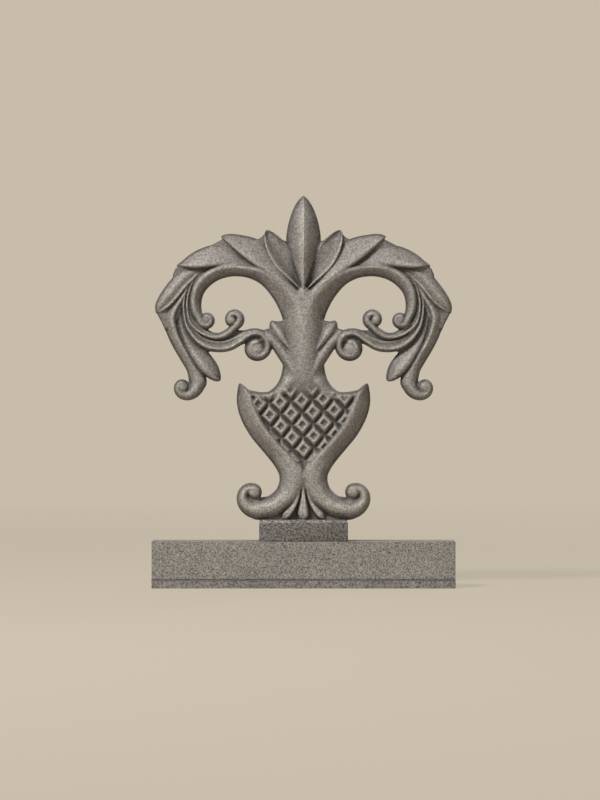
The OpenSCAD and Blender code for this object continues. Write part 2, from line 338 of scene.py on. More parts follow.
class Relief:
    """Height of the casting over its middle plane, on a grid in the ornament's frame."""

    HALF_WIDTH = 134.0
    LOWEST = -5.0
    HIGHEST = 290.0
    REACH = 6.0  # how far outside its edge a limb or web still counts
    BOSS_REACH = 5.0  # the same for a boss
    FLANK = 3.0  # fall for each mm outside the edge of a web or boss
    UNDER = -8.0  # height of the open ground, and of what a limb lies over
    WEB_JOIN = 0.8
    EDGE_JOIN = 1.0

    def __init__(self, pitch: float) -> None:
        """Makes an empty grid.

        Args:
            pitch: grid step in millimetres.
        """
        self.pitch = pitch
        half = round(self.HALF_WIDTH / pitch)
        self.x = np.arange(-half, half + 1) * pitch
        self.z = np.arange(round(self.LOWEST / pitch), round(self.HIGHEST / pitch) + 1) * pitch
        self.height = np.full((len(self.x), len(self.z)), FAR)
        self.inside = np.full_like(self.height, FAR)

    def lay(self, limb: Limb, both: bool = True) -> None:
        """Raises the relief by one limb.

        Args:
            limb: the limb, drawn on the +X side.
            both: lays its mirror image too.
        """
        edge, height = self._upright(limb) if limb.upright else self._spread(limb)
        if limb.over:
            self.height = np.where(edge > 0, self.UNDER, self.height)
        self._join(edge, height, limb.join, both)

    def back(self, web: Web) -> None:
        """Lays a flat web, on both sides.

        Args:
            web: the web.
        """
        edge = self.distance_in(web.whole())
        height = web.half_depth - self.FLANK * np.maximum(-edge, 0)
        edge, height = self._near(edge, height, self.REACH)
        self._join(edge, height, self.WEB_JOIN, not web.spans)

    def disc(self, centre: Point, radius: float, half_depth: float) -> None:
        """Backs a scroll with a flat disc."""
        self.dome(centre, radius, half_depth, 0.0)

    def dome(
        self, centre: Point, radius: float, base: float, rise: float, join: float = 0.6
    ) -> None:
        """Lays a round boss, such as the bulb at the eye of a scroll.

        Args:
            centre: its middle, on the +X side.
            radius: its radius.
            base: height at its edge.
            rise: height of its top over its edge.
            join: fillet at its foot.
        """
        far = np.hypot(self.x[:, None] - centre[0], self.z[None, :] - centre[1])
        crown = np.sqrt(np.clip(1 - (far / radius) ** 2, 0, 1))
        height = base + rise * crown - self.FLANK * np.maximum(far - radius, 0)
        edge, height = self._near(radius - far, height, self.BOSS_REACH)
        self._join(edge, height, join, True)

    def soften(self, sigma_mm: float) -> None:
        """Rounds every edge a little, as foundry sand does."""
        self.height = np.maximum(self.height, self.UNDER)
        self.height = blur(self.height, sigma_mm / self.pitch)

    def distance_in(self, outline: tuple[Point, ...]) -> np.ndarray:
        """Gives each grid point's distance inside an outline, below 0 outside.

        Args:
            outline: its corners in turn.

        Returns:
            Distance in millimetres at each grid point.
        """
        x, z = self.x[:, None], self.z[None, :]
        nearest = np.full(self.height.shape, np.inf)
        within = np.zeros(self.height.shape, bool)
        for (ax, az), (bx, bz) in zip(outline, outline[1:] + outline[:1]):
            dx, dz = bx - ax, bz - az
            u = np.clip(((x - ax) * dx + (z - az) * dz) / (dx * dx + dz * dz), 0, 1)
            nearest = np.minimum(nearest, np.hypot(x - ax - u * dx, z - az - u * dz))
            if abs(dz) > 1e-9:
                crosses = (az > z) != (bz > z)
                within ^= crosses & (x < ax + (z - az) * dx / dz)
        return np.where(within, nearest, -nearest)

    def _near(
        self, edge: np.ndarray, height: np.ndarray, reach: float
    ) -> tuple[np.ndarray, np.ndarray]:
        """Keeps a form's edge distance and height only within reach of its edge."""
        return np.where(edge > -reach, edge, FAR), np.where(edge > -reach, height, FAR)

    def _join(self, edge: np.ndarray, height: np.ndarray, fillet: float, both: bool) -> None:
        """Joins one form, and its mirror image, to the relief.

        Args:
            edge: distance inside the form's edge.
            height: height that the form gives.
            fillet: fillet where it meets what is there.
            both: joins its mirror image too.
        """
        for flip in (1, -1) if both else (1,):
            self.height = join_max(self.height, height[::flip], fillet)
            self.inside = join_max(self.inside, edge[::flip], self.EDGE_JOIN)

    def _shape(self, limb: Limb, across: np.ndarray, along: np.ndarray) -> np.ndarray:
        """Gives the share of the rise, where the section turns into the tail's along a limb.

        Args:
            limb: the limb.
            across: place across it, from -1 to 1.
            along: place along it, from 0 to 1.

        Returns:
            Share of the limb's rise.
        """
        shape = limb.section.rise(across)
        if limb.tail:
            turned = np.clip((along - limb.tail_from) / (1 - limb.tail_from) * 2, 0, 1)
            shape = shape * (1 - turned) + limb.tail.rise(across) * turned
        return shape

    def _upright(self, limb: Limb) -> tuple[np.ndarray, np.ndarray]:
        """Spreads a limb that runs straight up, whose width may flare fast.

        Args:
            limb: the limb.

        Returns:
            Distance inside the limb's edge, and the height it gives.
        """
        rows = curve_through(np.array(limb.rows, float), CURVE_STEPS)
        rows = rows[np.argsort(rows[:, 1])]
        half, rise = (np.interp(self.z, rows[:, 1], rows[:, k])[None, :] for k in (2, 3))
        flare = np.sqrt(1 + np.gradient(half[0], self.pitch) ** 2)[None, :]
        edge = (half - np.abs(self.x[:, None])) / flare
        edge = np.minimum(edge, np.minimum(self.z - rows[0, 1], rows[-1, 1] - self.z)[None, :])
        across = np.clip(self.x[:, None] / half, -1, 1)
        along = (self.z - rows[0, 1]) / (rows[-1, 1] - rows[0, 1])
        height = rise * self._shape(limb, across, along[None, :])
        return self._near(edge, height - limb.fall * np.maximum(-edge, 0), self.REACH)

    def _spread(self, limb: Limb) -> tuple[np.ndarray, np.ndarray]:
        """Carries a limb's section over the grid.

        Args:
            limb: the limb.

        Returns:
            Distance inside the limb's edge, and the height it gives.
        """
        rows = curve_through(np.array(limb.rows, float), CURVE_STEPS)
        over = np.full(self.height.shape, np.inf)
        across, rise, along = np.zeros((3, *over.shape))
        steps = np.hypot(*np.diff(rows[:, :2], axis=0).T)
        reached = np.concatenate([[0.0], np.cumsum(steps)]) / steps.sum()
        last = len(rows) - 2
        for i, (a, b) in enumerate(zip(rows, rows[1:])):
            run = b[:2] - a[:2]
            length = math.hypot(*run)
            if length < 1e-6:
                continue
            wide = max(a[2], b[2]) + self.REACH
            lo, hi = np.minimum(a[:2], b[:2]) - wide, np.maximum(a[:2], b[:2]) + wide
            i0, i1 = np.searchsorted(self.x, (lo[0], hi[0]))
            k0, k1 = np.searchsorted(self.z, (lo[1], hi[1]))
            part = (slice(i0, i1), slice(k0, k1))
            dx, dz = self.x[i0:i1, None] - a[0], self.z[None, k0:k1] - a[1]
            u = (dx * run[0] + dz * run[1]) / length**2
            held = np.clip(u, 0, 1)
            off = np.hypot(dx - held * run[0], dz - held * run[1])
            side = run[0] * dz - run[1] * dx
            half = a[2] + held * (b[2] - a[2])
            past = off - half
            beside = np.abs(side) / length - half
            if i == 0:
                past = np.where(u < 0, np.maximum(beside, -u * length), past)
            if i == last:
                past = np.where(u > 1, np.maximum(beside, (u - 1) * length), past)
            better = past < over[part]
            over[part] = np.where(better, past, over[part])
            across[part] = np.where(better, np.sign(side) * off / half, across[part])
            rise[part] = np.where(better, a[3] + held * (b[3] - a[3]), rise[part])
            share = reached[i] + held * (reached[i + 1] - reached[i])
            along[part] = np.where(better, share, along[part])
        height = rise * self._shape(limb, np.clip(across, -1, 1), along)
        return self._near(-over, height - limb.fall * np.maximum(over, 0), self.REACH)


# ---------------------------------------------------------------- parts of the casting


@dataclass(frozen=True)
class Crown:
    """Three leaves over the stem: a pointed one between two hollowed ones."""

    middle: Limb = Limb(
        (
            (0, 203.5, 0.4, 15), (0, 212.5, 3, 16.5), (0, 225, 7.6, 17.8), (0, 239.5, 13, 18),
            (0, 247, 15.3, 17), (0, 257, 14.3, 15), (0, 266.5, 12, 12.5), (0, 275.5, 8.6, 9),
            (0, 282, 4.8, 5), (0, 286, 0.7, 2.5),
        ),
        Section.TENT,
        join=0.4,
        tail=Section.BLADE,
        tail_from=0.06,
        over=True,
        upright=True,
    )  # fmt: skip
    side: Limb = Limb(
        (
            (1.6, 202.5, 0.6, 15.2), (5.6, 209.6, 3.4, 14.2), (10.6, 218.6, 7, 13.3),
            (16.6, 228, 9.8, 12.5), (22.2, 236.7, 9.6, 12),
            (27, 244.5, 7.4, 10.5), (30.5, 251, 4.1, 8), (32.5, 255, 0.7, 5),
        ),
        Section.HOLLOW,
        tail=Section.DISH,
        tail_from=0.55,
    )  # fmt: skip

    def carve(self, relief: Relief) -> None:
        """Lays the side leaves and then the middle one over them."""
        relief.lay(self.side)
        relief.lay(self.middle, both=False)


@dataclass(frozen=True)
class Arm:
    """One scrolled arm: three leaves, an arch and the strands that part from it."""

    leaf_web: Web = Web(
        (
            (0, 244), (17, 246), (28, 247), (34.5, 252), (37, 249.3), (41, 247), (50, 240),
            (71, 247.5),
            (76, 245), (80, 243), (86, 236), (109, 224.5), (113, 221.5), (115.5, 216), (113, 206),
            (130, 183),
            (127, 177), (122, 168), (112, 176), (100, 205), (80, 220), (50, 222), (12, 200),
            (0, 198),
        ),
        5.5,
        spans=True,
    )  # fmt: skip
    arm_web: Web = Web(
        (
            (64, 227), (94, 227), (115, 208), (123, 180), (115, 159), (99, 136), (90, 127),
            (80, 130),
            (85, 148), (66, 150.5), (51, 155.5), (50, 167), (60, 167), (76, 162.5), (84, 167.5),
            (95, 178),
            (95, 198), (88, 211), (76, 220), (64, 222),
        ),
        3.6,
    )  # fmt: skip
    upper_leaf: Limb = Limb(
        (
            (5.5, 202, 2.7, 11), (14.5, 211, 5.7, 13), (24.5, 222, 9.3, 13), (35, 231, 11.5, 12.5),
            (46.5, 238.5, 10.6, 11.5), (57, 244, 7.6, 10), (66, 248, 4.4, 8), (72.5, 250, 0.7, 5),
        ),
        Section.FOLD,
    )  # fmt: skip
    shoulder_leaf: Limb = Limb(
        (
            (43, 225, 2, 7), (54.5, 229.6, 6.2, 8), (66, 232.9, 9.6, 9.5), (77.5, 232.6, 10.2, 11),
            (88, 230.7, 9.1, 11.5), (97, 228.2, 6.8, 11), (105, 226, 3.4, 9), (112, 224, 0.7, 6),
        ),
        Section.FOLD,
    )  # fmt: skip
    outer_leaf: Limb = Limb(
        (
            (91.5, 220.5, 1.8, 6), (101, 216, 6.2, 7.5), (109.5, 209, 7.6, 9), (116, 201, 7.8, 10),
            (121.5, 194, 7.1, 10), (126.5, 188, 4.8, 8.5), (130, 182.5, 0.7, 5.5),
        ),
        Section.LIP,
    )  # fmt: skip
    arch_rows: tuple[Row, ...] = (
        (3, 150, 12, 13.5), (5, 166, 12.2, 14), (7, 180, 12, 14.5), (12.5, 193.5, 11.8, 14.3),
        (22, 205, 9.8, 13.5), (33, 213.5, 7.6, 12.5), (44.5, 218, 6, 11.5), (55.5, 220, 5.6, 11),
        (67, 220, 6, 11), (78.5, 216.5, 6.2, 11), (87.5, 210, 6.2, 11), (93, 202, 5.7, 10.5),
        (95, 193, 5.1, 10), (94.5, 184, 4.7, 9.5),
    )  # fmt: skip
    arch_scroll: Volute = Volute((85.3, 176), 10, -300, (6.6, 3.5), (4.2, 3.3), (9.5, 9.5))
    curl_rows: tuple[Row, ...] = (
        (93.5, 216.5, 1.1, 6), (98.5, 206.5, 1.4, 7.5), (102, 192, 1.8, 9), (100.5, 178, 2.3, 9),
        (96, 170.5, 2.7, 9), (88.5, 165, 3, 9), (81, 162.2, 3.1, 9), (73.5, 161.9, 3.3, 9),
        (66.5, 165, 3.7, 9.3),
        (61, 169.8, 3.9, 9.5),
    )  # fmt: skip
    curl_scroll: Volute = Volute((61, 177), -128, -262, (5.1, 4.5), (4.3, 4), (9.7, 10))
    cross_rows: tuple[Row, ...] = (
        (96.5, 213.5, 1.1, 6), (102, 204, 1.4, 7), (105, 190, 1.9, 8.5), (103, 174, 2.6, 9.5),
        (98.5, 165.5, 3.3, 10), (92, 158.5, 4.1, 10), (83.5, 154, 4.9, 10), (74.5, 152.5, 5, 10),
        (65, 154, 5, 10), (56, 159, 4.6, 10), (49, 163.5, 4.2, 10), (43, 165, 3.9, 10),
    )  # fmt: skip
    cross_scroll: Volute = Volute((41.2, 150.8), 108, 342, (13.5, 5.4), (3.9, 3.8), (10, 11))
    drop_rows: tuple[Row, ...] = (
        (102, 208, 1.8, 6), (109, 196.5, 4, 8), (116, 186.5, 5.6, 9), (118.8, 177, 6, 9.5),
        (116.6, 167.5, 5.5, 9.5), (113.3, 158.7, 5.1, 9.5), (108.6, 149.8, 5, 9.5),
        (103.5, 141, 4.8, 9.5),
        (98.3, 132.5, 5.2, 9.5),
    )  # fmt: skip
    drop_scroll: Volute = Volute((107, 116.5), 155, 290, (14.8, 3.8), (7.8, 3.3), (9.5, 10))
    drop_leaf: Limb = Limb(
        (
            (107, 192.5, 1.2, 4), (108, 180, 2.8, 4.5), (105, 167, 4.4, 5.2), (99, 154.5, 6.2, 7),
            (90.5, 143, 8, 9.5), (83, 133.5, 7.8, 10), (77.5, 126.5, 4.6, 8), (74, 123, 0.7, 4),
        ),
        Section.BENT,
    )  # fmt: skip

    # centre, radius and half-depth of the disc behind each scroll
    discs: tuple[tuple[Point, float, float], ...] = (
        ((85.3, 176), 4.6, 5.0),
        ((61, 177), 7.5, 5.0),
        ((41.2, 150.8), 11, 5.5),
        ((107, 116.5), 7, 5.5),
    )
    # centre, radius, height at the edge and rise of each scroll's bulb
    bulbs: tuple[tuple[Point, float, float, float], ...] = (
        ((85.6, 176.2), 4.2, 6.5, 3.4),
        ((64.2, 175.8), 4.3, 6.5, 4.0),
        ((42.6, 149.6), 7.6, 6.5, 4.4),
        ((107.6, 117.0), 5.2, 6.5, 3.6),
    )

    def carve(self, relief: Relief) -> None:
        """Lays the webs, the leaves from the tip inwards, and the limbs over them.

        Args:
            relief: the relief to raise.
        """
        for web in (self.leaf_web, self.arm_web):
            relief.back(web)
        for leaf in (self.outer_leaf, self.shoulder_leaf, self.upper_leaf, self.drop_leaf):
            relief.lay(leaf)
        for rows, scroll, section, join, tail_from in (
            (self.drop_rows, self.drop_scroll, Section.KEEL, 0.8, 0.55),
            (self.curl_rows, self.curl_scroll, Section.FLUTE, 0.8, 0.5),
            (self.cross_rows, self.cross_scroll, Section.FLUTE, 0.8, 0.55),
            (self.arch_rows, self.arch_scroll, Section.BENT, 3.0, 0.8),
        ):
            whole = rows + scroll.rows()
            relief.lay(Limb(whole, section, join, tail=Section.ROUND, tail_from=tail_from))
        for disc in self.discs:
            relief.disc(*disc)
        for bulb in self.bulbs:
            relief.dome(*bulb)


@dataclass(frozen=True)
class Stem:
    """Round stem under the crown, with the small leaves that clasp it."""

    trunk: Limb = Limb(
        (
            (0, 206, 3, 12), (0, 198, 12, 14), (0, 188, 16, 15), (0, 176, 17.4, 15.5),
            (0, 150, 17.4, 15.5),
            (0, 135.5, 18.4, 15), (0, 125, 20.6, 14.5), (0, 118, 24.6, 13), (0, 112, 31, 10.5),
            (0, 106, 34, 8),
            (0, 99, 34, 5),
        ),
        Section.ROUND,
        join=4.0,
        upright=True,
    )  # fmt: skip
    bud: Limb = Limb(
        (
            (12, 150, 1.2, 12), (17, 158, 4.6, 12), (22, 165.5, 6.2, 11), (26, 171, 4.2, 9),
            (28, 175, 0.8, 6),
        ),
        Section.ROUND,
        join=2.5,
    )  # fmt: skip
    sheath: Limb = Limb(
        (
            (6, 124, 1.5, 11), (11, 135, 5, 12.5), (17, 145.5, 6, 11.8), (23, 154, 5.6, 10.8),
            (29, 160.5, 4.6, 9.8), (33, 166, 2.4, 8),
        ),
        Section.ROUND,
        join=4.0,
    )  # fmt: skip
    web: Web = Web(
        (
            (15, 176), (28, 174), (29.5, 169.5), (33.5, 166.5), (41, 168), (38, 158), (30, 156),
            (10, 130),
        ),
        7,
    )  # fmt: skip

    def carve(self, relief: Relief) -> None:
        """Lays the trunk and the leaves that clasp it.

        Args:
            relief: the relief to raise.
        """
        relief.back(self.web)
        relief.lay(self.trunk, both=False)
        relief.lay(self.bud)
        relief.lay(self.sheath)


@dataclass(frozen=True)
class Shield:
    """Sunk field of diamond studs inside a rim that runs down into the base scrolls."""

    ground: Web = Web(
        (
            (0, 118), (21, 114), (34, 110), (48, 110), (47, 98), (35, 81), (20, 64), (11, 53),
            (0, 44),
        ),
        7.5,
        spans=True,
    )  # fmt: skip
    rim_rows: tuple[Row, ...] = (
        (56.4, 119.3, 1.2, 6), (54, 113, 4.8, 9), (51.8, 105.5, 7.6, 12), (49.6, 97, 8.4, 13.5),
        (45.8, 88, 8.6, 14), (39.8, 77.7, 8.5, 14), (32.4, 68.5, 8.4, 14), (24.9, 59.7, 8.5, 14),
        (17.3, 51, 9.2, 14), (13, 44, 9.6, 13), (10, 37, 9, 11),
    )  # fmt: skip
    foot_rows: tuple[Row, ...] = (
        (24, 60, 5, 9), (17.5, 52, 8.6, 13), (12.3, 44, 9.8, 15), (10.8, 38, 10.6, 15.5),
        (11.5, 31, 10.2, 15.5),
        (16, 21, 9.8, 16), (26.5, 12.4, 9.4, 16.5),
    )  # fmt: skip
    base_scroll: Volute = Volute((46, 22.3), 240, 285, (15, 5.2), (9.8, 4.2), (16.5, 15.5))
    # radius and half-depth of the disc behind the base scroll
    base_disc: Point = (8.5, 11.5)
    # centre, radius, height at the edge, rise and fillet of the base scroll's bulb
    base_bulb: tuple[Point, float, float, float, float] = ((43.4, 25.4), 5.8, 12.5, 3.8, 1.5)
    collar: Limb = Limb(
        (
            (54, 113, 2.7, 6.5), (45.5, 110.3, 3.4, 8.5), (35.5, 108.5, 3.9, 9.8),
            (26.4, 109.3, 5, 10.8),
            (18.5, 114.6, 6.5, 12), (12.2, 122.4, 8, 13.5),
        ),
        Section.ROUND,
        join=4.0,
    )  # fmt: skip
    stud_down: Point = (9.9, -9.9)  # step of the lattice down to the right
    stud_up: Point = (9.1, 11.4)  # step up to the right
    stud_z0: float = 62.3  # middle of the lowest stud
    stud_foot: float = 51.0  # no stud starts lower
    stud_rise: float = 4.8
    stud_lean: float = 0.2  # how far the flat top falls towards its rim
    sink_depth: float = 2.4
    stud_join: float = 0.3
    # shares of a stud's half-width: floor and rim of its sunk square, rim of its top, its foot
    stud_steps: tuple[float, float, float, float] = (0.26, 0.4, 0.62, 0.92)

    def carve(self, relief: Relief) -> None:
        """Lays the field and its studs, and the rim over them.

        Args:
            relief: the relief to raise.
        """
        relief.back(self.ground)
        relief.disc(self.base_scroll.eye, *self.base_disc)
        self._studs(relief)
        relief.lay(self.collar)
        relief.lay(Limb(self.rim_rows, Section.RIM, join=1.0))
        foot = self.foot_rows + self.base_scroll.rows()
        relief.lay(Limb(foot, Section.HEEL, join=5.0, tail=Section.ROUND, tail_from=0.3))
        relief.dome(*self.base_bulb)

    def _studs(self, relief: Relief) -> None:
        """Lays pyramid-sided studs with a small sunk square in each, on a diamond lattice.

        Args:
            relief: the relief to raise.
        """
        (ax, az), (bx, bz) = self.stud_down, self.stud_up
        x, z = relief.x[:, None], relief.z[None, :] - self.stud_z0
        cell = ax * bz - az * bx
        p, q = (x * bz - z * bx) / cell, (ax * z - az * x) / cell
        off = 2 * np.maximum(np.abs(p - np.round(p)), np.abs(q - np.round(q)))
        sunk, foot = -self.sink_depth, -self.stud_rise
        rise = np.interp(
            off, (0, *self.stud_steps, 1), (sunk, sunk, 0, -self.stud_lean, foot, foot)
        )
        edge = relief.distance_in(self.ground.whole())
        held = (edge > 0) & (relief.z > self.stud_foot)
        height = np.where(held, self.ground.half_depth + self.stud_rise + rise, FAR)
        relief.height = join_max(relief.height, height, self.stud_join)


@dataclass(frozen=True)
class Fan:
    """Apron and three small leaves that fan out between the base scrolls."""

    apron: Web = Web(((0, 54), (14, 46), (28, 10), (38, -2), (0, -2)), 8.5, spans=True)
    middle: Limb = Limb(
        (
            (0, 30.5, 0.7, 13), (0, 24, 1.9, 15), (0, 16, 3.5, 16.3), (0, 9, 5.1, 17),
            (0, 5, 5.5, 16.5),
            (0, 2.6, 3.4, 14), (0, 1.8, 0.8, 11),
        ),
        Section.TONGUE,
        join=0.5,
    )  # fmt: skip
    side: Limb = Limb(
        (
            (2.8, 25, 0.7, 12.5), (5, 18.5, 1.7, 14.5), (8.6, 12, 2.6, 15.5), (12.4, 7, 3.5, 16.3),
            (15.2, 4, 3.6, 16), (17.3, 2.1, 1.9, 13.5), (18.2, 1.2, 0.5, 11),
        ),
        Section.TONGUE,
        join=0.5,
    )  # fmt: skip

    def carve(self, relief: Relief) -> None:
        """Lays the apron and then the leaves.

        Args:
            relief: the relief to raise.
        """
        relief.back(self.apron)
        relief.lay(self.side)
        relief.lay(self.middle, both=False)


@dataclass(frozen=True)
class Plinth:
    """Plain block under the scrolls, chamfered round its top."""

    width: float = 78.0
    depth: float = 37.0
    height: float = 19.0
    chamfer: float = 2.3

    def inside(self, x: np.ndarray, y: np.ndarray, z: np.ndarray) -> np.ndarray:
        """Gives how far inside the block each point lies, below 0 outside.

        Args:
            x: places along the rail.
            y: places across it.
            z: heights over the plinth's top.

        Returns:
            Distance in millimetres.
        """
        side = np.minimum(self.width / 2 - np.abs(x), self.depth / 2 - np.abs(y))
        slanted = (side - z - self.chamfer) * math.sqrt(0.5)
        return np.minimum(np.minimum(side, slanted), np.minimum(-z, z + self.height))


# ---------------------------------------------------------------- finishes


@dataclass(frozen=True)
class Finish:
    """What every finish has: its name, and how metallic and rough it looks."""

    name: str
    metallic: float
    roughness: float

    def material(self) -> bpy.types.Material:
        """Makes the material, in each finish's own way."""
        raise NotImplementedError

    def cover(
        self,
        tree: bpy.types.NodeTree,
        colour: bpy.types.NodeSocket,
        dull: bpy.types.NodeSocket,
        bumps: bpy.types.NodeSocket,
    ) -> None:
        """Ends a node tree in the finish's surface.

        Args:
            tree: the material's node tree.
            colour: its colour.
            dull: its roughness.
            bumps: its normal.
        """
        shader = add_node(
            tree,
            "ShaderNodeBsdfPrincipled",
            {"Base Color": colour, "Metallic": self.metallic, "Roughness": dull, "Normal": bumps},
        ).outputs[0]
        add_node(tree, "ShaderNodeOutputMaterial", {"Surface": shader})


@dataclass(frozen=True)
class CastIron(Finish):
    """Sand-cast grey iron under old stove blacking.

    The sand leaves a fine grain. Crests and high parts are painted lighter, partly for rubbing and
    partly as painted highlight, and hollows, a band along every edge and sideways flanks darker,
    as painted shade. The blacking hides most of the metal.
    """

    name: str = "sand_cast_iron"
    body: str = "#807B76"
    # pale tone of crests and high parts: rubbing, and painted highlight
    pale_tone: str = "#A8A39C"
    # dark tone: painted shade in hollows, along every edge and on sideways flanks; the plinth
    # darker all over
    painted_shade: str = "#45423F"
    metallic: float = 0.2
    roughness: float = 0.62
    grain_mm: float = 1.7  # sand grains bunched together, drawn coarse enough to show
    grit_mm: float = 0.45  # single grains
    patch_mm: float = 22.0  # uneven blacking
    fine_share: float = 1.4  # weight of the fine relief against the broad

    def material(self) -> bpy.types.Material:
        """Makes the material.

        Returns:
            Material that reads the casting's attributes of painted highlight, painted shade and
            rubbing.
        """
        material, tree = blank_material(self.name)
        place = add_node(tree, "ShaderNodeTexCoord").outputs["Object"]
        fine, broad, block = (
            add_node(tree, "ShaderNodeAttribute", attribute_name=name).outputs["Fac"]
            for name in ("fine_relief", "broad_relief", "open_grain")
        )
        grain, grit, patch = (
            add_node(
                tree,
                "ShaderNodeTexNoise",
                {"Vector": place, "Scale": per_metre(size), "Detail": detail, "Roughness": rough},
            ).outputs["Fac"]
            for size, detail, rough in (
                (self.grain_mm, 3.0, 0.6),
                (self.grit_mm, 2.0, 0.7),
                (self.patch_mm, 4.0, 0.6),
            )
        )
        both = {0: fine, 1: self.fine_share, 2: broad}
        stand = add_node(tree, "ShaderNodeMath", both, operation="MULTIPLY_ADD").outputs[0]
        lightened, sunk, pale, swing, uneven, dull = (
            add_node(
                tree,
                "ShaderNodeMapRange",
                {"Value": value, "From Min": low, "From Max": high, "To Min": start, "To Max": end},
            ).outputs[0]
            for value, low, high, start, end in (
                (stand, 0.1, 2.6, 0.0, 0.75),  # crests painted lighter: rubbing and painted highlight
                (stand, -0.1, -2.6, 0.0, 0.95),  # painted shade in hollows, along edges and on flanks; the plinth darker
                (grain, 0.35, 0.65, -1.0, 1.0),
                (block, 0.0, 1.0, 0.38, 0.8),  # the plinth's grain is more open
                (patch, 0.3, 0.7, 0.9, 1.08),
                (grit, 0.3, 0.7, self.roughness - 0.1, self.roughness + 0.12),
            )
        )
        mottled = add_node(
            tree, "ShaderNodeMath", {0: pale, 1: swing, 2: 1.0}, operation="MULTIPLY_ADD"
        ).outputs[0]
        tone = add_node(
            tree, "ShaderNodeMath", {0: mottled, 1: uneven}, operation="MULTIPLY"
        ).outputs[0]
        tint: object = linear(self.body)
        # painted highlight and rubbing on crests, painted shade in hollows, along edges and on
        # flanks
        for share, other in ((lightened, self.pale_tone), (sunk, self.painted_shade)):
            tint = add_node(
                tree,
                "ShaderNodeMix",
                {"Factor": share, "A": tint, "B": linear(other)},
                data_type="RGBA",
            ).outputs["Result"]
        colour = add_node(
            tree, "ShaderNodeVectorMath", {0: tint, "Scale": tone}, operation="SCALE"
        ).outputs[0]
        coarse = add_node(
            tree, "ShaderNodeBump", {"Height": grain, "Strength": 0.55, "Distance": 0.35 * MM}
        ).outputs[0]
        bumps = add_node(
            tree,
            "ShaderNodeBump",
            {"Height": grit, "Strength": 0.4, "Distance": 0.15 * MM, "Normal": coarse},
        ).outputs[0]
        self.cover(tree, colour, dull, bumps)
        return material


@dataclass(frozen=True)
class BarIron(Finish):
    """Cast bar iron with a coarse skin.

    The flat faces show an open, pebbled grain, the eased edges are paler from rubbing, and painted
    shade darkens the corner over the lip. Old paint hides most of the metal.
    """

    name: str = "coarse_bar_iron"
    body: str = "#A5A099"
    pale_tone: str = "#A8A39B"
    pit: str = "#46433F"
    metallic: float = 0.2
    roughness: float = 0.66
    lip_mm: float = 7.0  # height of the rail's lip
    corner_mm: float = 1.4  # how far painted shade spreads from the corner over it
    grain_mm: float = 1.45  # pebbled skin, drawn coarse enough to show
    grit_mm: float = 0.6
    patch_mm: float = 35.0

    def material(self) -> bpy.types.Material:
        """Makes the material.

        Returns:
            Material for the rail.
        """
        material, tree = blank_material(self.name)
        place = add_node(tree, "ShaderNodeTexCoord").outputs["Object"]
        grain, grit, patch = (
            add_node(
                tree,
                "ShaderNodeTexNoise",
                {"Vector": place, "Scale": per_metre(size), "Detail": detail, "Roughness": rough},
            ).outputs["Fac"]
            for size, detail, rough in (
                (self.grain_mm, 5.0, 0.75),
                (self.grit_mm, 2.0, 0.7),
                (self.patch_mm, 4.0, 0.6),
            )
        )
        height = add_node(tree, "ShaderNodeSeparateXYZ", {0: place}).outputs["Z"]
        lip = self.lip_mm * MM
        over_lip = add_node(
            tree, "ShaderNodeMath", {0: height, 1: lip + 0.4 * MM}, operation="SUBTRACT"
        ).outputs[0]
        away = add_node(tree, "ShaderNodeMath", {0: over_lip}, operation="ABSOLUTE").outputs[0]
        pebble, lightened, uneven, foot, corner, dull = (
            add_node(
                tree,
                "ShaderNodeMapRange",
                {"Value": value, "From Min": low, "From Max": high, "To Min": start, "To Max": end},
            ).outputs[0]
            for value, low, high, start, end in (
                (grain, 0.37, 0.59, 0.0, 1.0),
                (self._squareness(tree), 0.75, 0.98, 0.6, 0.0),  # eased edges rubbed bright
                (patch, 0.3, 0.7, 0.9, 1.1),
                (height, lip, lip + 0.3 * MM, 0.84, 1.0),  # the lip is a little darker
                (away, 0.0, self.corner_mm * MM, 0.3, 1.0),  # painted shade in the corner over it
                (grit, 0.3, 0.7, self.roughness - 0.08, self.roughness + 0.12),
            )
        )
        tint: object = linear(self.pit)
        for share, other in ((pebble, self.body), (lightened, self.pale_tone)):
            tint = add_node(
                tree,
                "ShaderNodeMix",
                {"Factor": share, "A": tint, "B": linear(other)},
                data_type="RGBA",
            ).outputs["Result"]
        for shade in (foot, corner, uneven):
            tint = add_node(
                tree, "ShaderNodeVectorMath", {0: tint, "Scale": shade}, operation="SCALE"
            ).outputs[0]
        coarse = add_node(
            tree, "ShaderNodeBump", {"Height": grain, "Strength": 0.6, "Distance": 0.4 * MM}
        ).outputs[0]
        bumps = add_node(
            tree,
            "ShaderNodeBump",
            {"Height": grit, "Strength": 0.4, "Distance": 0.15 * MM, "Normal": coarse},
        ).outputs[0]
        self.cover(tree, tint, dull, bumps)
        return material

    def _squareness(self, tree: bpy.types.NodeTree) -> bpy.types.NodeSocket:
        """Gives 1 on faces square to the rail, and less on its eased edges.

        Args:
            tree: the material's node tree.

        Returns:
            Socket with the value.
        """
        facing = add_node(tree, "ShaderNodeNewGeometry").outputs["True Normal"]
        size = add_node(tree, "ShaderNodeVectorMath", {0: facing}, operation="ABSOLUTE").outputs[0]
        axes = add_node(tree, "ShaderNodeSeparateXYZ", {0: size}).outputs
        most = axes["X"]
        for other in (axes["Y"], axes["Z"]):
            most = add_node(
                tree, "ShaderNodeMath", {0: most, 1: other}, operation="MAXIMUM"
            ).outputs[0]
        return most


